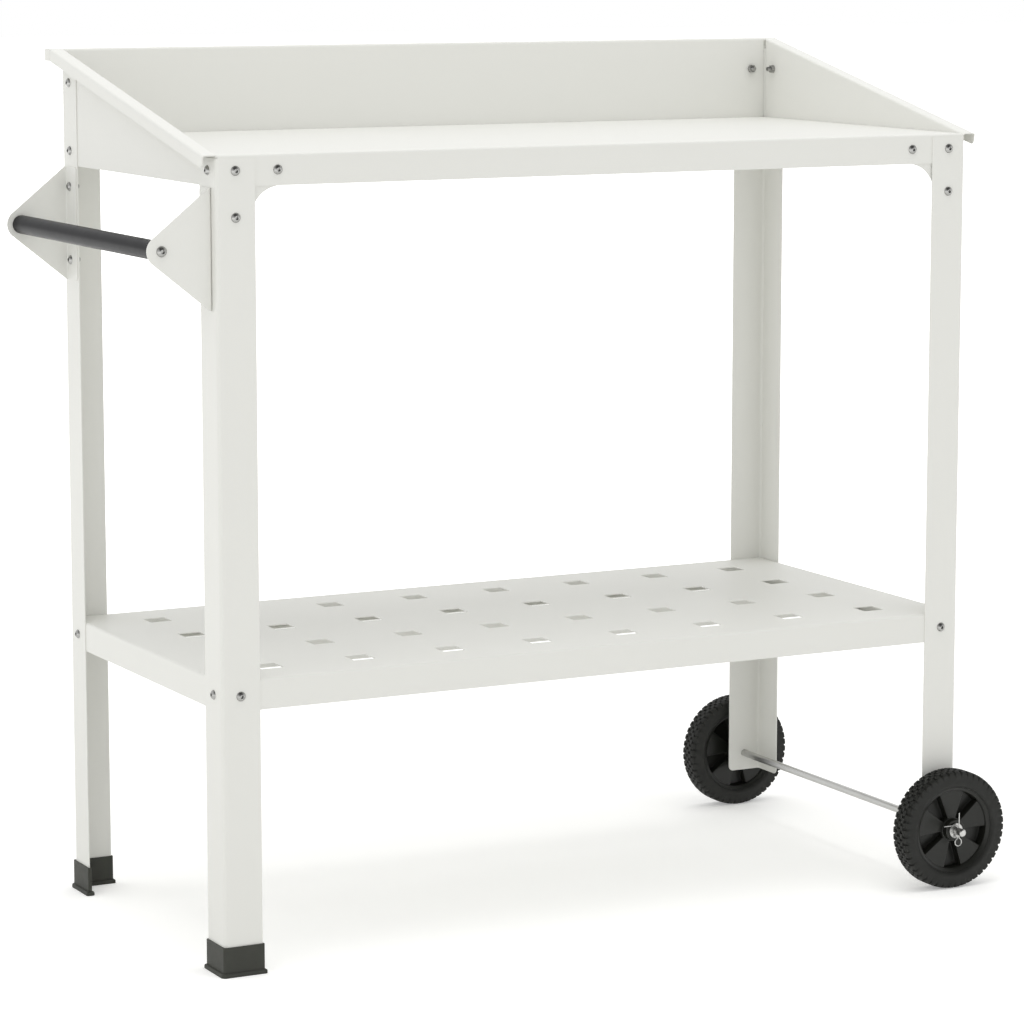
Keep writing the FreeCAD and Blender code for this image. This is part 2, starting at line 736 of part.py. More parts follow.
tip = pin_spot(leg_offset, axle_height + pin_rise)
neck_right = pin_spot(leg_offset, neck_level)
neck_left = pin_spot(-leg_offset, neck_level)
meet_right = pin_spot(meet_x, meet_z)
meet_left = pin_spot(-meet_x, meet_z)
bend_start = pin_spot(-leg_offset, bend_level - pin_bend)
bend_middle = pin_spot(-leg_offset - pin_bend + bend_mid, bend_level - pin_bend + bend_mid)
bend_end = pin_spot(-leg_offset - pin_bend, bend_level)
pin_path = Part.Wire([
    Part.LineSegment(tip, neck_right).toShape(),
    Part.Arc(neck_right, pin_spot(bow_x, bow_z), meet_right).toShape(),
    Part.Arc(meet_right, pin_spot(0, eye_level - pin_eye), meet_left).toShape(),
    Part.Arc(meet_left, pin_spot(-bow_x, bow_z), neck_left).toShape(),
    Part.LineSegment(neck_left, bend_start).toShape(),
    Part.Arc(bend_start, bend_middle, bend_end).toShape(),
    Part.LineSegment(bend_end, pin_spot(-pin_bend_reach, bend_level)).toShape(),
])
wire_points = []
for step in range(pin_sides + 1):
    angle = math.radians(360 * step / pin_sides)
    wire_points.append(tip + Vector(math.cos(angle), math.sin(angle), 0) * (pin_wire / 2))
front_pin = pin_path.makePipeShell([Part.makePolygon(wire_points)], True, False)


def bolts_at(places):
    """One bolt at each place."""
    bolt = screw_solid(bolt_diameter, bolt_head_diameter, bolt_head_height, bolt_length)
    return [set_at(bolt, point, way) for point, way, clamped in places]


def nuts_at(places):
    """One nut behind the clamped sheets of each place."""
    nut = nut_solid()
    return [set_at(nut, point + way * clamped, way) for point, way, clamped in places]


os.makedirs("parts", exist_ok=True)

for name, leg in legs.items():
    save(name + "_leg", [leg])

save("tray_panel", [tray])
save("left_guard", [left_guard])
save("right_guard", [right_guard])
save("back_guard", [back_guard])
save("front_left_gusset", [left_gusset])
save("front_right_gusset", [right_gusset])
save("lower_shelf", [shelf])
save("shelf_stiffener", [stiffener])

save("front_handle_bracket", [front_bracket])
save("back_handle_bracket", [back_bracket])
save("handle_grip", [grip])
save("handle_plugs", [front_plug, mirror_depth(front_plug)])
save("handle_screws", [front_screw, mirror_depth(front_screw)])

save("front_foot", [foot_solid(corners["front_left"])])
save("back_foot", [foot_solid(corners["back_left"])])

save("wheel_axle", [axle])
save("front_wheel_hub", [front_hub])
save("rear_wheel_hub", [rear_hub])
save("front_tyre", [front_tyre])
save("rear_tyre", [mirror_depth(front_tyre)])
save("axle_washers", front_washers + [mirror_depth(ring) for ring in front_washers])
save("split_pins", [front_pin, mirror_depth(front_pin)])

save("tray_bolts", bolts_at(tray_places))
save("tray_nuts", nuts_at(tray_places))
save("gusset_bolts", bolts_at(gusset_places))
save("gusset_nuts", nuts_at(gusset_places))
save("shelf_bolts", bolts_at(shelf_places))
save("shelf_nuts", nuts_at(shelf_places))
save("bracket_bolts", bolts_at(bracket_places))
save("bracket_nuts", nuts_at(bracket_places))
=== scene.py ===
import math

import bmesh
import bpy
from mathutils import Matrix, Vector


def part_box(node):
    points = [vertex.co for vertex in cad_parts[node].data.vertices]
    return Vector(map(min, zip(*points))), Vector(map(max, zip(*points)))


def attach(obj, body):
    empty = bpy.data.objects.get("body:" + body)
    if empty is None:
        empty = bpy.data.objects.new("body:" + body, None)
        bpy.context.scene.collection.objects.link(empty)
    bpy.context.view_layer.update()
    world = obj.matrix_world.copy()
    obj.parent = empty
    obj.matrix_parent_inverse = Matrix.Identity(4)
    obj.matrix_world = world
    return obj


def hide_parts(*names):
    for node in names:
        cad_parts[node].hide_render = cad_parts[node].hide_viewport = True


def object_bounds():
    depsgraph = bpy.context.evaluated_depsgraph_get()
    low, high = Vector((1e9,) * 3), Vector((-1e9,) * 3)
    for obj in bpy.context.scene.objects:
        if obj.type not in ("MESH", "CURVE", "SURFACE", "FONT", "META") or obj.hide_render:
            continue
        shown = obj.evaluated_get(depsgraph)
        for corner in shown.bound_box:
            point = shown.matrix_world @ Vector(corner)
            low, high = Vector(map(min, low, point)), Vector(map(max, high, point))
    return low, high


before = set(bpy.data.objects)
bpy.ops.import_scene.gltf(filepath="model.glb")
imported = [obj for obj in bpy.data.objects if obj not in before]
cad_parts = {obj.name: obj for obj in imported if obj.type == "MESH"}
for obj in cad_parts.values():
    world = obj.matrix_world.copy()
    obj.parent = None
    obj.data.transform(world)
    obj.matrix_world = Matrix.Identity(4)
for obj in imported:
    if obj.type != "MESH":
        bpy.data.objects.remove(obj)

bl_info = {
    "name": "Rolling Plant Table",
    "version": (1, 0, 0),
    "blender": (4, 5, 0),
    "location": "View3D > Sidebar > Plant Table",
    "description": "Gives the folded steel plant table its finishes, fasteners, wheels and studio",
    "category": "Add Mesh",
}

MM = 0.001
CAD_BOX = [list(corner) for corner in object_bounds()]

SHEET_NODES = (
    "front_left_leg", "front_right_leg", "back_left_leg", "back_right_leg",
    "tray_panel", "left_guard", "right_guard", "back_guard",
    "front_left_gusset", "front_right_gusset", "lower_shelf", "shelf_stiffener",
    "front_handle_bracket", "back_handle_bracket",
)
BOLT_NODES = ("tray_bolts", "gusset_bolts", "shelf_bolts", "bracket_bolts")
NUT_NODES = ("tray_nuts", "gusset_nuts", "shelf_nuts", "bracket_nuts")
# Each wheel: its end of the axle, its body and the way it faces along y
WHEELS = (("front", "front_wheel", -1), ("rear", "rear_wheel", 1))
# Width of the hub's band, and of the tyre's bead on it, as a share of the tyre's width
BEAD_SHARE = 0.8
WHITE = (1.0, 1.0, 1.0, 1.0)


def linear(hex_colour):
    """Linear colour with full alpha from an sRGB hex value."""
    channels = [int(hex_colour[start:start + 2], 16) / 255 for start in (0, 2, 4)]
    return [c / 12.92 if c <= 0.04045 else ((c + 0.055) / 1.055) ** 2.4 for c in channels] + [1.0]


def shaded(colour, factor):
    """The same colour, lighter or darker."""
    return [min(channel * factor, 1.0) for channel in colour[:3]] + [1.0]


# Node and material helpers


def add_node(tree, kind, inputs=None, **settings):
    """Add one node, set its own settings, then set or link its inputs."""
    node = tree.nodes.new(kind)
    for name, value in settings.items():
        setattr(node, name, value)
    for key, value in (inputs or {}).items():
        if isinstance(value, bpy.types.NodeSocket):
            tree.links.new(value, node.inputs[key])
        else:
            node.inputs[key].default_value = value
    return node


def new_surface(name):
    """Empty surface: its material, node tree, shader and object coordinates in metres."""
    material = bpy.data.materials.new(name)
    material.use_nodes = True
    tree = material.node_tree
    place = add_node(tree, "ShaderNodeTexCoord").outputs["Object"]
    return material, tree, tree.nodes["Principled BSDF"], place


def mottled(tree, shader, place, colour, spread, patch):
    """Drift the base colour a little either way in patches of a real size."""
    noise = add_node(tree, "ShaderNodeTexNoise", {"Vector": place, "Scale": 1 / patch, "Detail": 3.0})
    # Inputs 6 and 7 and output 2 are this node's colour sockets
    blend = add_node(tree, "ShaderNodeMix", {
        0: noise.outputs["Fac"], 6: shaded(colour, 1 - spread), 7: shaded(colour, 1 + spread),
    }, data_type="RGBA")
    tree.links.new(blend.outputs[2], shader.inputs["Base Color"])


def grained(tree, shader, place, grain, depth, detail=2.0):
    """Raise a fine grain of a real size and depth on the surface."""
    noise = add_node(tree, "ShaderNodeTexNoise", {"Vector": place, "Scale": 1 / grain, "Detail": detail})
    bump = add_node(tree, "ShaderNodeBump", {"Height": noise.outputs["Fac"], "Distance": depth})
    tree.links.new(bump.outputs["Normal"], shader.inputs["Normal"])


def uneven_gloss(tree, shader, place, patch, low, high):
    """Let the roughness wander between two values in patches of a real size."""
    noise = add_node(tree, "ShaderNodeTexNoise", {"Vector": place, "Scale": 1 / patch, "Detail": 4.0})
    spread = add_node(tree, "ShaderNodeMapRange", {
        "Value": noise.outputs["Fac"], "To Min": low, "To Max": high,
    })
    tree.links.new(spread.outputs["Result"], shader.inputs["Roughness"])


# Materials


def powder_coat(colour):
    """Polyester powder coat baked on folded steel sheet."""
    material, tree, shader, place = new_surface("powder_coated_steel_white")
    # Baked powder flows to a satin skin: an even warm white, with a faint orange peel in its sheen.
    # The peel is about 1.5 mm across, drawn at 2.5 mm so that it shows.
    mottled(tree, shader, place, colour, spread=0.008, patch=160 * MM)
    grained(tree, shader, place, grain=2.5 * MM, depth=0.02 * MM)
    uneven_gloss(tree, shader, place, patch=60 * MM, low=0.42, high=0.52)
    return material


def zinc_plate(colour):
    """Bright zinc plated over rolled steel fasteners."""
    material, tree, shader, place = new_surface("zinc_plated_steel_bright")
    # Barrel plating leaves a soft grey shine with small dull patches where pieces rubbed.
    shader.inputs["Metallic"].default_value = 1.0
    mottled(tree, shader, place, colour, spread=0.08, patch=3 * MM)
    grained(tree, shader, place, grain=0.5 * MM, depth=0.01 * MM)
    uneven_gloss(tree, shader, place, patch=2 * MM, low=0.24, high=0.40)
    return material


def drawn_steel(colour):
    """Cold drawn bright steel bar and wire."""
    material, tree, shader, place = new_surface("drawn_steel_bright")
    # Drawing through a die leaves fine lines along the rod, so its shine is streaked lengthwise.
    lengthwise_share = 0.02
    shader.inputs["Metallic"].default_value = 1.0
    mottled(tree, shader, place, colour, spread=0.05, patch=12 * MM)
    along = add_node(tree, "ShaderNodeMapping", {"Vector": place, "Scale": (1.0, lengthwise_share, 1.0)})
    grained(tree, shader, along.outputs["Vector"], grain=0.6 * MM, depth=0.01 * MM)
    uneven_gloss(tree, shader, along.outputs["Vector"], patch=1.5 * MM, low=0.22, high=0.38)
    return material


def vinyl_sleeve(colour):
    """Dark vinyl sleeve pulled over the handle's tube."""
    material, tree, shader, place = new_surface("vinyl_sleeve_dark_grey")
    # An extruded sleeve has a soft satin gloss and shallow lines along its length.
    lengthwise_share = 0.03
    shader.inputs["Specular IOR Level"].default_value = 0.06
    mottled(tree, shader, place, colour, spread=0.06, patch=30 * MM)
    along = add_node(tree, "ShaderNodeMapping", {"Vector": place, "Scale": (1.0, lengthwise_share, 1.0)})
    grained(tree, shader, along.outputs["Vector"], grain=0.9 * MM, depth=0.03 * MM)
    uneven_gloss(tree, shader, place, patch=14 * MM, low=0.28, high=0.38)
    return material


def moulded_plastic(name, colour, shine, low, high):
    """Moulded polypropylene with a spark-eroded skin."""
    material, tree, shader, place = new_surface(name)
    # The tool's eroded face leaves a fine matt grain, about 0.3 mm, drawn at 0.8 mm so that it shows.
    shader.inputs["Specular IOR Level"].default_value = shine
    mottled(tree, shader, place, colour, spread=0.07, patch=9 * MM)
    grained(tree, shader, place, grain=0.8 * MM, depth=0.04 * MM)
    uneven_gloss(tree, shader, place, patch=12 * MM, low=low, high=high)
    return material


def tyre_rubber(colour):
    """Moulded black rubber."""
    material, tree, shader, place = new_surface("moulded_rubber_black")
    # Rubber is matt and slightly dusty, greyer on its rubbed faces, with a coarse moulded grain.
    mottled(tree, shader, place, colour, spread=0.14, patch=6 * MM)
    grained(tree, shader, place, grain=0.9 * MM, depth=0.08 * MM, detail=3.0)
    uneven_gloss(tree, shader, place, patch=8 * MM, low=0.58, high=0.78)
    return material


def pale_floor(colour, glow, near, far):
    """Painted studio floor, lit white to the eye, that still takes a shadow."""
    material, tree, shader, place = new_surface("painted_floor_pale")
    # A matt white floor. As it is seen it glows a little near the table, where the shadow shows, and
    # more further off, so that it ends in plain white.
    mottled(tree, shader, place, colour, spread=0.004, patch=900 * MM)
    shader.inputs["Roughness"].default_value = 1.0
    shader.inputs["Specular IOR Level"].default_value = 0.0
    shader.inputs["Emission Color"].default_value = WHITE
    away = add_node(tree, "ShaderNodeVectorMath", {0: place}, operation="LENGTH")
    rise = add_node(tree, "ShaderNodeMapRange", {
        "Value": away.outputs["Value"], "From Min": near, "From Max": far, "To Min": glow, "To Max": 1.0,
    })
    strength = add_node(tree, "ShaderNodeMath", {
        0: seen_rays(tree), 1: rise.outputs["Result"],
    }, operation="MULTIPLY")
    tree.links.new(strength.outputs["Value"], shader.inputs["Emission Strength"])
    return material


def studio_world(ambient, ceiling):
    """White all round, with a darker ceiling for what shines."""
    # What shines sees white walls, and a dark ceiling over the front half of the studio: the further a
    # direction points to the front, the lower it turns dark.
    front_weight = 0.6
    dark_from, dark_to = 0.55, 0.95
    world = bpy.data.worlds.new("studio_white")
    world.use_nodes = True
    tree = world.node_tree
    way = add_node(tree, "ShaderNodeTexCoord").outputs["Generated"]
    apart = add_node(tree, "ShaderNodeSeparateXYZ", {0: way})
    front = add_node(tree, "ShaderNodeMath", {
        0: apart.outputs["Y"], 1: -front_weight, 2: apart.outputs["Z"],
    }, operation="MULTIPLY_ADD")
    seen = add_node(tree, "ShaderNodeMapRange", {
        "Value": front.outputs["Value"], "From Min": dark_from, "From Max": dark_to,
        "To Min": 1.0, "To Max": ceiling,
    })
    strength = add_node(tree, "ShaderNodeMix", {0: seen_rays(tree), 2: ambient, 3: seen.outputs["Result"]})
    background = tree.nodes["Background"]
    background.inputs["Color"].default_value = WHITE
    tree.links.new(strength.outputs[0], background.inputs["Strength"])
    return world


def seen_rays(tree):
    """Socket that is one for camera, mirror and glass rays and zero for the rest."""
    path = add_node(tree, "ShaderNodeLightPath")
    either = add_node(tree, "ShaderNodeMath", {
        0: path.outputs["Is Camera Ray"], 1: path.outputs["Is Glossy Ray"],
    }, operation="MAXIMUM")
    any_of = add_node(tree, "ShaderNodeMath", {
        0: either.outputs["Value"], 1: path.outputs["Is Transmission Ray"],
    }, operation="MAXIMUM")
    return any_of.outputs["Value"]


# Mesh helpers: pieces are skinned over rings of points, with the piece's own axis along z


def circle(radius, height, count):
    """Ring of points round the z axis."""
    turn = 2 * math.pi / count
    return [Vector((radius * math.cos(turn * i), radius * math.sin(turn * i), height)) for i in range(count)]


def hexagon(flats, height, count):
    """Ring of points on a hexagon of that width across its flats."""
    points = []
    for index in range(count):
        angle = 2 * math.pi * index / count
        off_flat = angle % (math.pi / 3) - math.pi / 6
        radius = flats / 2 / math.cos(off_flat)
        points.append(Vector((radius * math.cos(angle), radius * math.sin(angle), height)))
    return points


def skin(bm, rings, place, close_rows=False, cap_ends=False):
    """Quads between neighbouring rings; the rows may close on themselves or get end caps."""
    rows = [[bm.verts.new(place @ point) for point in ring] for ring in rings]
    pairs = list(zip(rows, rows[1:]))
    if close_rows:
        pairs.append((rows[-1], rows[0]))
    for lower, upper in pairs:
        for index in range(len(lower)):
            after = (index + 1) % len(lower)
            bm.faces.new((lower[index], lower[after], upper[after], upper[index]))
    if cap_ends:
        bm.faces.new(rows[0])
        bm.faces.new(rows[-1])


def new_piece(name, bm, material, body, nodes):
    """Object from a built mesh: smooth but for its creases, riding on a body in place of CAD nodes."""
    crease = math.radians(35)
    bmesh.ops.recalc_face_normals(bm, faces=bm.faces)
    mesh = bpy.data.meshes.new(name)
    bm.to_mesh(mesh)
    bm.free()
    mesh.materials.append(material)
    mesh.shade_smooth()
    mesh.set_sharp_from_angle(angle=crease)
    piece = bpy.data.objects.new(name, mesh)
    bpy.context.scene.collection.objects.link(piece)
    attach(piece, body)
    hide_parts(*nodes)


def finish_nodes(names, material):
    """Give CAD nodes, whose shape is right already, a finer material."""
    for name in names:
        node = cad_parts[name]
        for slot in node.material_slots:
            slot.material = material


def solids_of(node):
    """Lowest and highest corner and the points of each separate solid in a CAD node."""
    weld = 0.002 * MM
    bm = bmesh.new()
    bm.from_mesh(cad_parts[node].data)
    bmesh.ops.remove_doubles(bm, verts=bm.verts, dist=weld)
    seen = set()
    solids = []
    for first in bm.verts:
        if first in seen:
            continue
        seen.add(first)
        front = [first]
        points = []
        while front:
            vert = front.pop()
            points.append(vert.co.copy())
            for edge in vert.link_edges:
                other = edge.other_vert(vert)
                if other not in seen:
                    seen.add(other)
                    front.append(other)
        low = Vector([min(point[axis] for point in points) for axis in range(3)])
        high = Vector([max(point[axis] for point in points) for axis in range(3)])
        solids.append((low, high, points))
    bm.free()
    if not solids:
        raise RuntimeError("no solid was found in " + node)
    return solids


def facing(origin, way):
    """Matrix that sets a piece's z axis along a direction, at a point."""
    return Matrix.Translation(origin) @ way.to_track_quat("Z", "Y").to_matrix().to_4x4()


def upright(origin, outwards):
    """Matrix that stands a shape up at a point: x stays, y goes up and z points along the axle."""
    turn = Matrix(((1, 0, 0, 0), (0, 0, outwards, 0), (0, 1, 0, 0), (0, 0, 0, 1)))
    return Matrix.Translation(origin) @ turn


def screw_places(node):
    """Matrix of each screw in a CAD node: its seat at the origin and its shank along z."""
    rim_share = 0.95
    places = []
    for low, high, points in solids_of(node):
        size = high - low
        axis = max(range(3), key=lambda index: size[index])
        middle = (low + high) / 2
        head_radius = min(size) / 2
        rim = []
        for point in points:
            off = point - middle
            off[axis] = 0
            if off.length > rim_share * head_radius:
                rim.append(point[axis])
        seat = sum(rim) / len(rim)
        origin = middle.copy()
        origin[axis] = seat
        way = Vector((0, 0, 0))
        way[axis] = math.copysign(1, middle[axis] - seat)
        places.append(facing(origin, way))
    return places


def thread_rings(radius, pitch, start, end, count):
    """Rings of a rolled thread, a ridge that climbs one pitch each turn."""
    depth_share = 0.45
    rings_per_turn = 5
    depth = depth_share * pitch
    steps = max(int((end - start) / pitch * rings_per_turn), 1)
    rings = []
    for step in range(steps + 1):
        height = start + (end - start) * step / steps
        ring = []
        for index in range(count):
            phase = (height / pitch - index / count) % 1
            out = radius - depth * abs(2 * phase - 1)
            angle = 2 * math.pi * index / count
            ring.append(Vector((out * math.cos(angle), out * math.sin(angle), height)))
        rings.append(ring)
    return rings


def button_screw(bm, place, diameter, head_diameter, head_height, length, socket, pitch):
    """Button-head screw, domed like part of a ball, with a hexagon socket and a rolled thread."""
    count = 24
    dome_steps = 8
    # Shares of the head's radius and height, of the shank's length and of the pitch
    crown_share = 0.42
    lip_share = 0.08
    socket_shares = (0.25, 0.95)
    plain_share = 0.45
    run_in_share, run_out_share, tip_share = 0.3, 0.5, 0.6
    radius = diameter / 2
    head_radius = head_diameter / 2
    crown = crown_share * head_radius
    lip = lip_share * head_height
    dome = head_height - lip
    ball_middle = (head_radius ** 2 - crown ** 2 - dome ** 2) / (2 * dome)
    ball = math.hypot(head_radius, ball_middle)
    rings = [hexagon(socket, -share * head_height, count) for share in socket_shares]
    for step in range(dome_steps + 1):
        out = crown + (head_radius - crown) * step / dome_steps
        rings.append(circle(out, ball_middle - lip - math.sqrt(ball ** 2 - out ** 2), count))
    rings.append(circle(head_radius, 0, count))
    rings.append(circle(radius, 0, count))
    plain_end = plain_share * length
    rings.append(circle(radius, plain_end, count))
    thread_start = plain_end + run_in_share * pitch
    thread_end = length - run_out_share * pitch
    rings += thread_rings(radius, pitch, thread_start, thread_end, count)
    rings.append(circle(radius - tip_share * pitch, length, count))
    skin(bm, rings, place, cap_ends=True)


def hex_nut(bm, place, flats, height, bore):
    """Hexagon nut chamfered on both faces, its middle at the origin."""
    count = 48
    bearing_share = 0.475
    chamfer_slope = math.tan(math.radians(30))
    mouth_depth_share, mouth_width_share = 0.08, 1.12
    bearing = bearing_share * flats
    rings = []
    for side in (-1, 1):
        face = side * height / 2
        corner_ring = hexagon(flats, 0, count)
        for point in corner_ring:
            drop = max(point.length - bearing, 0) * chamfer_slope
            point.z = face - side * drop
        rows = [
            circle(bore / 2, face - side * mouth_depth_share * height, count),
            circle(bore / 2 * mouth_width_share, face, count), circle(bearing, face, count), corner_ring,
        ]
        rings += rows if side < 0 else rows[::-1]
    skin(bm, rings, place, close_rows=True)


def turned_ring(bm, place, bore, diameter, low, high, edge):
    """Flat turned ring with its four edges broken."""
    count = 64
    inner = bore / 2
    outer = diameter / 2
    section = (
        (inner, low + edge), (inner + edge, low), (outer - edge, low), (outer, low + edge),
        (outer, high - edge), (outer - edge, high), (inner + edge, high), (inner, high - edge),
    )
    skin(bm, [circle(radius, height, count) for radius, height in section], place, close_rows=True)


# Wheel shapes: their own z axis points outwards along the axle


def tyre_mesh(bm, place, sizes, wheel_radius, half_width):
    """Tyre with a bead, a bowed sidewall and five staggered rows of blocks, two over the shoulders."""
    # Shares of half the width: where the tread ends, and the slope beside a groove
    shoulder_share, edge_share = 0.95, 0.02
    # The tread falls to its shoulders by this share of the tyre's height, along a curve of this power
    fall_share, power = 0.11, 6
    # Depth of a groove as a share of a gap's, and half a block's slope as a share of the spacing
    groove_share, slope_share = 0.75, 0.045
    block_steps = 4
    # Rows of blocks either start with the spacing or half a spacing on
    aligned, staggered = 0.0, 0.5
    seat = wheel_radius - sizes.tyre_height
    # Each row is one corner of the side: shares of the tyre's height, half width and gap depth
    side_shares = (
        (0.0, BEAD_SHARE, 0.0), (0.05, 0.87, 0.0), (0.10, 0.925, 0.0), (0.15, 0.965, 0.0),
        (0.20, 0.99, 0.0), (0.27, 0.995, 0.0), (0.36, 0.98, 0.0), (0.46, 0.97, 0.0),
        (0.58, 0.965, 0.0), (0.72, 0.965, 0.25), (0.80, 0.96, 0.7),
    )
    # Each row of blocks: the two edges as shares of half the width, and its shift round the tyre
    block_shares = (
        (shoulder_share, 0.58, aligned), (0.53, 0.21, staggered), (0.16, -0.16, aligned),
        (-0.21, -0.53, staggered), (-0.58, -shoulder_share, aligned),
    )

    def crown(width_share, sink):
        """Spot on the tread, sunk so far square to its surface."""
        share = abs(width_share) / shoulder_share
        fall_slope = power * fall_share * share ** (power - 1) / shoulder_share
        tilt = math.atan(fall_slope * sizes.tyre_height / half_width)
        radius = seat + (1 - fall_share * share ** power) * sizes.tyre_height - sink * math.cos(tilt)
        return radius, width_share * half_width - math.copysign(sink * math.sin(tilt), width_share)

    def section(in_gap):
        """Spots round the tyre's section, where some rows of blocks are in a gap."""
        spots = []
        for level_share, width_share, notch_share in side_shares:
            sink = notch_share * sizes.lug_depth if in_gap[aligned] else 0
            spots.append((seat + level_share * sizes.tyre_height, width_share * half_width - sink))
        other_side = [(radius, -out) for radius, out in spots[::-1]]
        groove = groove_share * sizes.lug_depth
        for first, last, shift in block_shares:
            if first < shoulder_share:
                spots.append(crown(first + edge_share, groove))
            sink = sizes.lug_depth if in_gap[shift] else 0
            for step in range(block_steps + 1):
                spots.append(crown(first + (last - first) * step / block_steps, sink))
            if last > -shoulder_share:
                spots.append(crown(last - edge_share, groove))
        return spots + other_side

    gap_share = sizes.lug_gap_share
    stops = (slope_share, gap_share - slope_share, gap_share + slope_share, staggered - slope_share)
    stops += tuple(staggered + stop for stop in stops)
    rings = []
    for lug in range(sizes.lug_count):
        for stop in stops:
            turn = 2 * math.pi * (lug + stop) / sizes.lug_count
            across, up = math.cos(turn), math.sin(turn)
            spots = section({
                aligned: stop < gap_share, staggered: staggered < stop < staggered + gap_share,
            })
            rings.append([Vector((radius * across, radius * up, out)) for radius, out in spots])
    skin(bm, rings, place, close_rows=True)


def hub_mesh(bm, place, sizes, wheel_radius, half_width, boss_in, phase):
    """Moulded hub: a boss and a dished band for the tyre, joined by a web that steps in and out by turns."""
    pocket_steps = 7
    weld = 0.01 * MM
    sharp_angle = math.radians(30)
    round_segments, round_profile = 3, 0.5
    seat = wheel_radius - sizes.tyre_height
    # The rings of the face lie between these radii; ring 1 is the flat land round the boss
    radii = (sizes.hub_bore / 2, sizes.boss_diameter / 2, sizes.pocket_inner, seat - sizes.rim_band, seat)
    boss_ring, pocket_ring, band_ring = 0, 2, 3
    outside = len(radii) - 1
    half_pitch = math.pi / sizes.pocket_count
    columns = pocket_steps + 1
    count = 2 * sizes.pocket_count * columns
    disc = sizes.disc_thickness / 2
    floor = disc - sizes.pocket_depth
    rim = BEAD_SHARE * half_width
    levels = sorted({floor, disc, rim, half_width, boss_in})

    def level(ring, column, side):
        """Height of one cell of a face, out from the wheel's middle plane."""
        if ring == boss_ring:
            return half_width if side > 0 else boss_in
        if ring == band_ring:
            return rim
        turn, step = divmod(column, columns)
        sunk = ring == pocket_ring and step < pocket_steps and turn % 2 == (side < 0)
        return floor if sunk else disc

    def spot(border, column, height):
        """Corner of a cell; the band's face slopes in from the tyre."""
        turn, step = divmod(column, columns)
        angle = phase + half_pitch * turn + sizes.pocket_angle * (step / pocket_steps - 1 / 2)
        radius = radii[border]
        if border == band_ring and abs(height) == rim:
            height *= sizes.band_slope_share
        return place @ Vector((radius * math.cos(angle), radius * math.sin(angle), height))

    def strip(first, second, low, high, side):
        """Upright wall between two corners, split at every level so that neighbours share edges."""
        stops = [low] + [stop for stop in levels if low < stop < high] + [high]
        for lower, upper in zip(stops, stops[1:]):
            corners = ((first, lower), (second, lower), (second, upper), (first, upper))
            bm.faces.new([bm.verts.new(spot(*corner, side * height)) for corner, height in corners])

    for column in range(count):
        after = (column + 1) % count
        for side in (-1, 1):
            for ring in range(outside):
                own = level(ring, column, side)
                corners = ((ring, column), (ring + 1, column), (ring + 1, after), (ring, after))
                bm.faces.new([bm.verts.new(spot(*corner, side * own)) for corner in corners])
                other = level(ring, after, side)
                strip((ring, after), (ring + 1, after), min(own, other), max(own, other), side)
                if ring < band_ring:
                    other = level(ring + 1, column, side)
                    strip((ring + 1, column), (ring + 1, after), min(own, other), max(own, other), side)
        strip((0, column), (0, after), -boss_in, half_width, 1)
        strip((outside, column), (outside, after), -rim, rim, 1)
    bmesh.ops.remove_doubles(bm, verts=bm.verts, dist=weld)
    bmesh.ops.recalc_face_normals(bm, faces=bm.faces)
    sharp = [edge for edge in bm.edges if edge.is_manifold and edge.calc_face_angle(0) > sharp_angle]
    bmesh.ops.bevel(bm, geom=sharp, offset=sizes.mould_round, segments=round_segments,
                    profile=round_profile, affect="EDGES", clamp_overlap=True)


def arc(middle, radius, start, end, steps):
    """Points along an arc in a plane, angles in degrees."""
    points = []
    for step in range(steps + 1):
        angle = math.radians(start + (end - start) * step / steps)
        points.append(middle + Vector((radius * math.cos(angle), radius * math.sin(angle))))
    return points


def split_pin_route(sizes, axle_radius):
    """Route of a split pin in its own plane: x along, y up, the axle's centre at zero."""
    leg_gap = 0.1 * MM
    neck = 3.0 * MM
    neck_drop = 1.5 * MM
    bend = 2.0 * MM
    bend_level = 7.0 * MM
    bend_steps, eye_steps = 8, 28
    offset = (sizes.pin_wire + leg_gap) / 2
    eye = sizes.pin_eye
    neck_level = -axle_radius - neck_drop
    reach = offset + neck
    drop = math.sqrt((neck + eye) ** 2 - reach ** 2)
    swing = math.degrees(math.atan2(drop, reach))
    route = [Vector((offset, sizes.pin_rise))]
    route += arc(Vector((reach, neck_level)), neck, 180, 180 + swing, bend_steps)
    route += arc(Vector((0, neck_level - drop)), eye, swing, -180 - swing, eye_steps)[1:]
    route += arc(Vector((-reach, neck_level)), neck, -swing, 0, bend_steps)[1:]
    route += arc(Vector((-offset - bend, bend_level - bend)), bend, 0, 90, bend_steps)
    route.append(Vector((-sizes.pin_reach, bend_level)))
    return route


def wire_mesh(bm, place, route, diameter):
    """Round wire along a flat route, its ends closed."""
    count = 12
    rings = []
    for index, point in enumerate(route):
        before = route[max(index - 1, 0)]
        after = route[min(index + 1, len(route) - 1)]
        run = (after - before).normalized()
        across = Vector((-run.y, run.x))
        ring = []
        for step in range(count):
            angle = 2 * math.pi * step / count
            side = across * (diameter / 2 * math.cos(angle))
            ring.append(Vector((point.x + side.x, point.y + side.y, diameter / 2 * math.sin(angle))))
        rings.append(ring)
    skin(bm, rings, place, cap_ends=True)


# Settings


def length_prop(name, description, default):
    """A length in metres that a user may change."""
    return bpy.props.FloatProperty(
        name=name, description=description, default=default, unit="LENGTH", precision=5)


def share_prop(name, description, default):
    """A share that a user may change."""
    return bpy.props.FloatProperty(name=name, description=description, default=default, subtype="FACTOR")


def angle_prop(name, description, degrees):
    """An angle that a user may change."""
    return bpy.props.FloatProperty(
        name=name, description=description, default=math.radians(degrees), subtype="ANGLE")


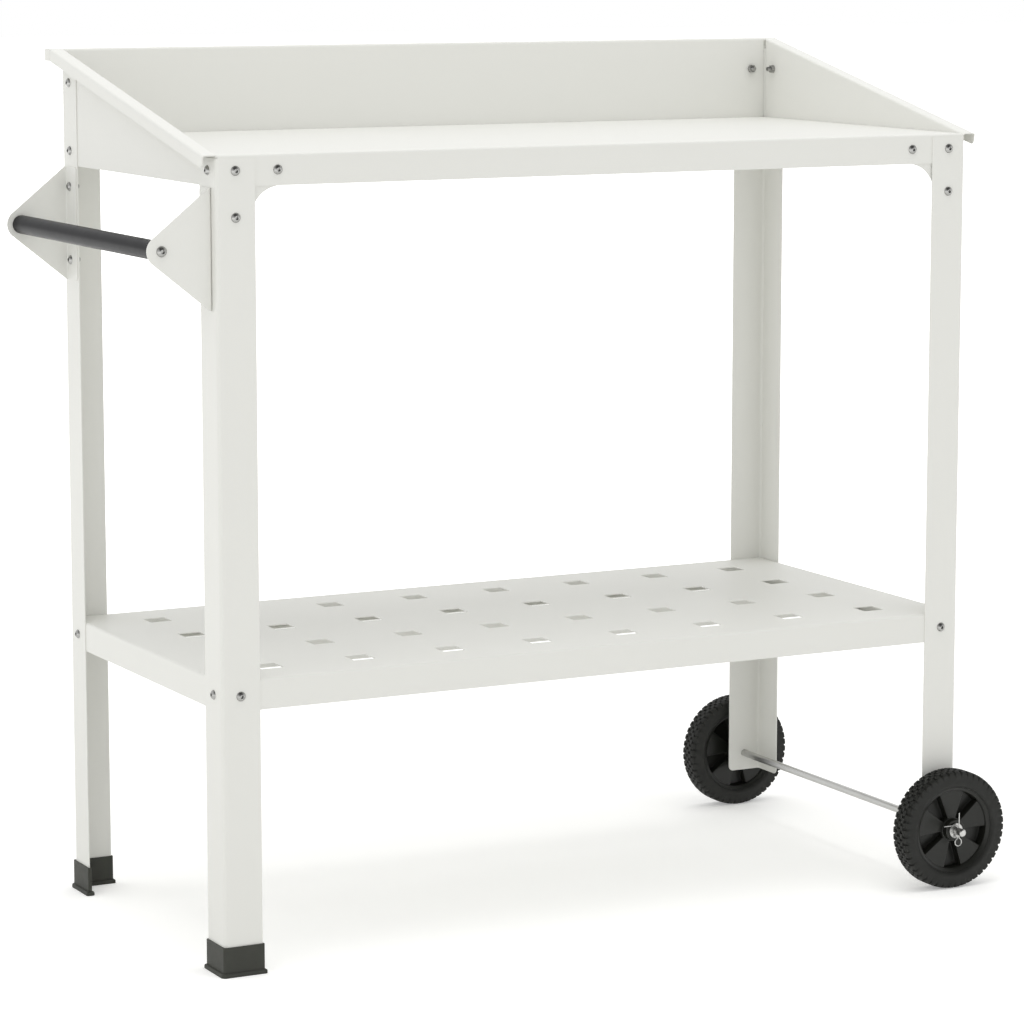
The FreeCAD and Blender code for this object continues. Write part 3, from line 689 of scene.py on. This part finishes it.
def colour_prop(name, description, hex_colour):
    """A colour that a user may change."""
    return bpy.props.FloatVectorProperty(
        name=name, description=description, default=linear(hex_colour), size=4, subtype="COLOR",
        min=0, max=1)


class SheetSettings(bpy.types.PropertyGroup):
    """Finish of the folded sheets"""
    coat: colour_prop("Coat", "Colour of the powder coat", "E6E6E1")


class FastenerSettings(bpy.types.PropertyGroup):
    """Sizes and finish of the frame's bolts and nuts"""
    zinc: colour_prop("Zinc", "Colour of the zinc plate", "A6A6A4")
    bolt_diameter: length_prop("Bolt diameter", "Thread diameter of the frame's bolts", 5.0 * MM)
    bolt_head: length_prop("Bolt head", "Diameter of a bolt's head", 9.5 * MM)
    bolt_head_height: length_prop("Bolt head height", "Height of a bolt's head", 2.75 * MM)
    bolt_length: length_prop("Bolt length", "Length of a bolt under its head", 10.0 * MM)
    bolt_socket: length_prop("Bolt socket", "Width across flats of a bolt's socket", 3.0 * MM)
    bolt_pitch: length_prop("Bolt pitch", "Distance between thread turns", 0.8 * MM)
    nut_flats: length_prop("Nut flats", "Width across flats of a nut", 8.0 * MM)
    nut_height: length_prop("Nut height", "Height of a nut", 4.0 * MM)
    nut_bore: length_prop("Nut bore", "Bore of a nut", 5.2 * MM)


class HandleSettings(bpy.types.PropertyGroup):
    """Sizes and finish of the grip and its screws"""
    sleeve: colour_prop("Sleeve", "Colour of the grip's vinyl", "212123")
    wall: length_prop("Wall", "Thickness of the grip's wall", 1.5 * MM)
    end_round: length_prop("End rounding", "Rounding of the grip's ends", 0.7 * MM)
    screw_diameter: length_prop("Screw diameter", "Thread diameter of a handle screw", 6.0 * MM)
    screw_head: length_prop("Screw head", "Diameter of a handle screw's head", 10.5 * MM)
    screw_head_height: length_prop("Screw head height", "Height of a handle screw's head", 3.3 * MM)
    screw_length: length_prop("Screw length", "Length of a handle screw under its head", 16.0 * MM)
    screw_socket: length_prop("Screw socket", "Width across flats of a handle screw's socket", 4.0 * MM)
    screw_pitch: length_prop("Screw pitch", "Distance between thread turns", 1.0 * MM)


class FootSettings(bpy.types.PropertyGroup):
    """Finish of the feet"""
    plastic: colour_prop("Plastic", "Colour of the feet", "43443F")


class WheelSettings(bpy.types.PropertyGroup):
    """Sizes and finish of the tyres and hubs"""
    rubber: colour_prop("Rubber", "Colour of the tyres", "171814")
    plastic: colour_prop("Hub plastic", "Colour of the hubs", "1B1C18")
    tyre_height: length_prop("Tyre height", "From the hub's band to the top of the tread", 17.5 * MM)
    lug_count: bpy.props.IntProperty(name="Lugs", description="Tread blocks in one row", default=48, min=8)
    lug_gap_share: share_prop("Lug gap", "Share of the lug spacing that is open", 0.27)
    lug_depth: length_prop("Lug depth", "Depth of the tread", 1.5 * MM)
    rim_band: length_prop("Rim band", "Thickness of the band under the tyre", 4.0 * MM)
    band_slope_share: share_prop(
        "Band slope", "Height of the band's inner edge as a share of its outer edge", 0.78)
    disc_thickness: length_prop("Disc", "Thickness over the hub's stepped web", 13.0 * MM)
    pocket_depth: length_prop("Pocket depth", "Depth of a step in the web", 10.0 * MM)
    pocket_inner: length_prop("Pocket start", "Radius at which a step begins", 12.9 * MM)
    pocket_count: bpy.props.IntProperty(
        name="Pockets", description="Steps in each face of the web", default=5, min=2)
    pocket_angle: angle_prop("Pocket angle", "Angle that a step takes up", 30)
    pocket_phase: angle_prop("Pocket phase", "Turn of the first step", 56)
    boss_diameter: length_prop("Boss", "Diameter of the hub's boss", 23.0 * MM)
    hub_bore: length_prop("Bore", "Bore of the hub", 8.16 * MM)
    mould_round: length_prop("Mould rounding", "Rounding of the hub's edges", 0.6 * MM)


class AxleSettings(bpy.types.PropertyGroup):
    """Sizes and finish of the axle's washers and split pins"""
    steel: colour_prop("Steel", "Colour of the drawn steel", "C4C4C2")
    washer_bore: length_prop("Washer bore", "Bore of a washer", 8.4 * MM)
    washer_edge: length_prop("Washer edge", "Broken edge of a washer", 0.2 * MM)
    pin_wire: length_prop("Pin wire", "Diameter of a split pin's wire", 1.3 * MM)
    pin_eye: length_prop("Pin eye", "Radius of a split pin's eye", 4.0 * MM)
    pin_rise: length_prop("Pin rise", "Height of the straight leg above the axle", 20.0 * MM)
    pin_reach: length_prop("Pin reach", "How far the bent leg goes sideways", 18.0 * MM)


class StageSettings(bpy.types.PropertyGroup):
    """Floor, light and camera"""
    floor: colour_prop("Floor", "Colour of the studio floor", "F5F5F3")
    floor_size: length_prop("Floor size", "Side of the studio floor", 60.0)
    floor_glow: share_prop("Floor glow", "White added to the floor by the table as it is seen", 0.28)
    glow_near: length_prop("Glow start", "Distance at which the floor begins to turn white", 1.1)
    glow_far: length_prop("Glow end", "Distance from which the floor is white", 2.6)
    ambient: share_prop("Ambient", "Light from all round", 0.85)
    ceiling: share_prop("Ceiling", "Brightness of the ceiling in what shines", 0.08)
    camera_place: bpy.props.FloatVectorProperty(
        name="Camera place", description="Where the camera stands", default=(-1.8128, -3.5108, 1.0026),
        subtype="TRANSLATION", unit="LENGTH")
    camera_turn: angle_prop("Camera turn", "Turn of the view towards the wheels", 27.402)
    camera_dip: angle_prop("Camera dip", "How far the view looks down", 8.683)
    camera_lens: bpy.props.FloatProperty(
        name="Lens", description="Focal length in millimetres", default=134.6, unit="CAMERA")


# Operators


class PLANTTABLE_OT_sheets(bpy.types.Operator):
    """Coat the folded sheet pieces"""
    bl_idname = "plant_table.sheets"
    bl_label = "Sheets"

    def execute(self, context):
        finish_nodes(SHEET_NODES, powder_coat(context.scene.plant_table_sheets.coat))
        return {"FINISHED"}


class PLANTTABLE_OT_fasteners(bpy.types.Operator):
    """Make the frame's bolts and nuts"""
    bl_idname = "plant_table.fasteners"
    bl_label = "Bolts and nuts"

    def execute(self, context):
        sizes = context.scene.plant_table_fasteners
        zinc = zinc_plate(sizes.zinc)
        for node in BOLT_NODES:
            bm = bmesh.new()
            for place in screw_places(node):
                button_screw(bm, place, sizes.bolt_diameter, sizes.bolt_head, sizes.bolt_head_height,
                             sizes.bolt_length, sizes.bolt_socket, sizes.bolt_pitch)
            new_piece("socket_" + node, bm, zinc, "table", [node])
        for node in NUT_NODES:
            bm = bmesh.new()
            for low, high, _ in solids_of(node):
                size = high - low
                way = Vector((0, 0, 0))
                way[min(range(3), key=lambda index: size[index])] = 1
                hex_nut(bm, facing((low + high) / 2, way), sizes.nut_flats, sizes.nut_height, sizes.nut_bore)
            new_piece("chamfered_" + node, bm, zinc, "table", [node])
        return {"FINISHED"}


class PLANTTABLE_OT_handle(bpy.types.Operator):
    """Make the grip and its screws"""
    bl_idname = "plant_table.handle"
    bl_label = "Handle"

    def execute(self, context):
        sizes = context.scene.plant_table_handle
        zinc = zinc_plate(context.scene.plant_table_fasteners.zinc)
        low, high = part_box("handle_grip")
        middle = (low + high) / 2
        diameter = high.x - low.x
        half_run = (high.y - low.y) / 2
        bm = bmesh.new()
        turned_ring(bm, facing(middle, Vector((0, 1, 0))), diameter - 2 * sizes.wall, diameter,
                    -half_run, half_run, sizes.end_round)
        new_piece("sleeved_grip", bm, vinyl_sleeve(sizes.sleeve), "table", ["handle_grip"])
        bm = bmesh.new()
        for place in screw_places("handle_screws"):
            button_screw(bm, place, sizes.screw_diameter, sizes.screw_head, sizes.screw_head_height,
                         sizes.screw_length, sizes.screw_socket, sizes.screw_pitch)
        new_piece("socket_handle_screws", bm, zinc, "table", ["handle_screws"])
        finish_nodes(["handle_plugs"], zinc)
        return {"FINISHED"}


class PLANTTABLE_OT_feet(bpy.types.Operator):
    """Finish the plastic feet"""
    bl_idname = "plant_table.feet"
    bl_label = "Feet"

    def execute(self, context):
        shade = context.scene.plant_table_feet.plastic
        plastic = moulded_plastic(
            "moulded_polypropylene_grey", shade, shine=0.14, low=0.42, high=0.56)
        finish_nodes(["front_foot", "back_foot"], plastic)
        return {"FINISHED"}


class PLANTTABLE_OT_wheels(bpy.types.Operator):
    """Make the tyres and the hubs"""
    bl_idname = "plant_table.wheels"
    bl_label = "Wheels"

    def execute(self, context):
        sizes = context.scene.plant_table_wheels
        rubber = tyre_rubber(sizes.rubber)
        plastic = moulded_plastic(
            "moulded_polypropylene_black", sizes.plastic, shine=0.34, low=0.26, high=0.38)
        for end, body, outwards in WHEELS:
            low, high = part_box(end + "_tyre")
            hub_low, hub_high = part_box(end + "_wheel_hub")
            radius = (high.z - low.z) / 2
            half_width = (high.y - low.y) / 2
            boss_in = hub_high.y - hub_low.y - half_width
            place = upright((low + high) / 2, outwards)
            phase = sizes.pocket_phase + (math.pi / sizes.pocket_count if outwards > 0 else 0)
            bm = bmesh.new()
            tyre_mesh(bm, place, sizes, radius, half_width)
            new_piece("knobbed_" + end + "_tyre", bm, rubber, body, [end + "_tyre"])
            bm = bmesh.new()
            hub_mesh(bm, place, sizes, radius, half_width, boss_in, phase)
            hub = end + "_wheel_hub"
            new_piece("stepped_" + hub, bm, plastic, body, [hub])
        return {"FINISHED"}


class PLANTTABLE_OT_axle(bpy.types.Operator):
    """Finish the axle and make its washers and split pins"""
    bl_idname = "plant_table.axle"
    bl_label = "Axle"

    def execute(self, context):
        sizes = context.scene.plant_table_axle
        steel = drawn_steel(sizes.steel)
        finish_nodes(["wheel_axle"], steel)
        bm = bmesh.new()
        for low, high, _ in solids_of("axle_washers"):
            half = (high.y - low.y) / 2
            turned_ring(bm, facing((low + high) / 2, Vector((0, 1, 0))), sizes.washer_bore, high.x - low.x,
                        -half, half, sizes.washer_edge)
        new_piece("edged_axle_washers", bm, steel, "axle", ["axle_washers"])
        low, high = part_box("wheel_axle")
        middle = (low + high) / 2
        route = split_pin_route(sizes, (high.z - low.z) / 2)
        bm = bmesh.new()
        for pin_low, pin_high, _ in solids_of("split_pins"):
            side = (pin_low.y + pin_high.y) / 2
            place = upright((middle.x, side, middle.z), -1)
            wire_mesh(bm, place, route, sizes.pin_wire)
        new_piece("wire_split_pins", bm, steel, "axle", ["split_pins"])
        return {"FINISHED"}


class PLANTTABLE_OT_stage(bpy.types.Operator):
    """Set up the floor, the light and the camera"""
    bl_idname = "plant_table.stage"
    bl_label = "Stage"

    def execute(self, context):
        sizes = context.scene.plant_table_stage
        scene = context.scene
        scene.view_settings.view_transform = "Standard"

        half = sizes.floor_size / 2
        mesh = bpy.data.meshes.new("studio_floor")
        corners = [(-half, -half, 0), (half, -half, 0), (half, half, 0), (-half, half, 0)]
        mesh.from_pydata(corners, [], [(0, 1, 2, 3)])
        paint = pale_floor(sizes.floor, sizes.floor_glow, sizes.glow_near, sizes.glow_far)
        mesh.materials.append(paint)
        floor = bpy.data.objects.new("studio_floor", mesh)
        scene.collection.objects.link(floor)

        scene.world = studio_world(sizes.ambient, sizes.ceiling)

        # Each lamp: where it stands, its side in metres and its power
        lamps = {
            "left_softbox": ((-4.0, -1.2, 1.4), 2.4, 11.4),
            "top_softbox": ((0.0, -0.4, 4.2), 3.0, 46.0),
        }
        target = Vector((0, 0, (CAD_BOX[0][2] + CAD_BOX[1][2]) / 2))
        for name, (spot, side, power) in lamps.items():
            light = bpy.data.lights.new(name, "AREA")
            light.size = side
            light.energy = power
            lamp = bpy.data.objects.new(name, light)
            lamp.location = spot
            lamp.rotation_euler = (target - Vector(spot)).to_track_quat("-Z", "Y").to_euler()
            lamp.visible_glossy = False
            scene.collection.objects.link(lamp)

        lens = bpy.data.cameras.new("photo_camera")
        lens.lens = sizes.camera_lens
        lens.clip_end = sizes.floor_size
        camera = bpy.data.objects.new("photo_camera", lens)
        camera.location = sizes.camera_place
        camera.rotation_euler = (math.pi / 2 - sizes.camera_dip, 0, -sizes.camera_turn)
        scene.collection.objects.link(camera)
        scene.camera = camera
        return {"FINISHED"}


OPERATORS = (
    PLANTTABLE_OT_sheets, PLANTTABLE_OT_fasteners, PLANTTABLE_OT_handle, PLANTTABLE_OT_feet,
    PLANTTABLE_OT_wheels, PLANTTABLE_OT_axle, PLANTTABLE_OT_stage,
)
SETTINGS = {
    "plant_table_sheets": SheetSettings,
    "plant_table_fasteners": FastenerSettings,
    "plant_table_handle": HandleSettings,
    "plant_table_feet": FootSettings,
    "plant_table_wheels": WheelSettings,
    "plant_table_axle": AxleSettings,
    "plant_table_stage": StageSettings,
}


class PLANTTABLE_PT_panel(bpy.types.Panel):
    """Lists the table's operators"""
    bl_idname = "PLANTTABLE_PT_panel"
    bl_label = "Plant Table"
    bl_space_type = "VIEW_3D"
    bl_region_type = "UI"
    bl_category = "Plant Table"

    def draw(self, context):
        for operator in OPERATORS:
            self.layout.operator(operator.bl_idname)


def register():
    """Add the settings, the operators and the panel."""
    for group in SETTINGS.values():
        bpy.utils.register_class(group)
    for name, group in SETTINGS.items():
        setattr(bpy.types.Scene, name, bpy.props.PointerProperty(type=group))
    for entry in OPERATORS + (PLANTTABLE_PT_panel,):
        bpy.utils.register_class(entry)


def unregister():
    """Take the panel, the operators and the settings out again."""
    for entry in (PLANTTABLE_PT_panel,) + OPERATORS[::-1]:
        bpy.utils.unregister_class(entry)
    for name, group in SETTINGS.items():
        delattr(bpy.types.Scene, name)
        bpy.utils.unregister_class(group)


def main():
    """Add the settings and run every operator, which builds the whole table."""
    register()
    for operator in OPERATORS:
        family, name = operator.bl_idname.split(".")
        getattr(getattr(bpy.ops, family), name)()


if __name__ == "__main__":
    main()
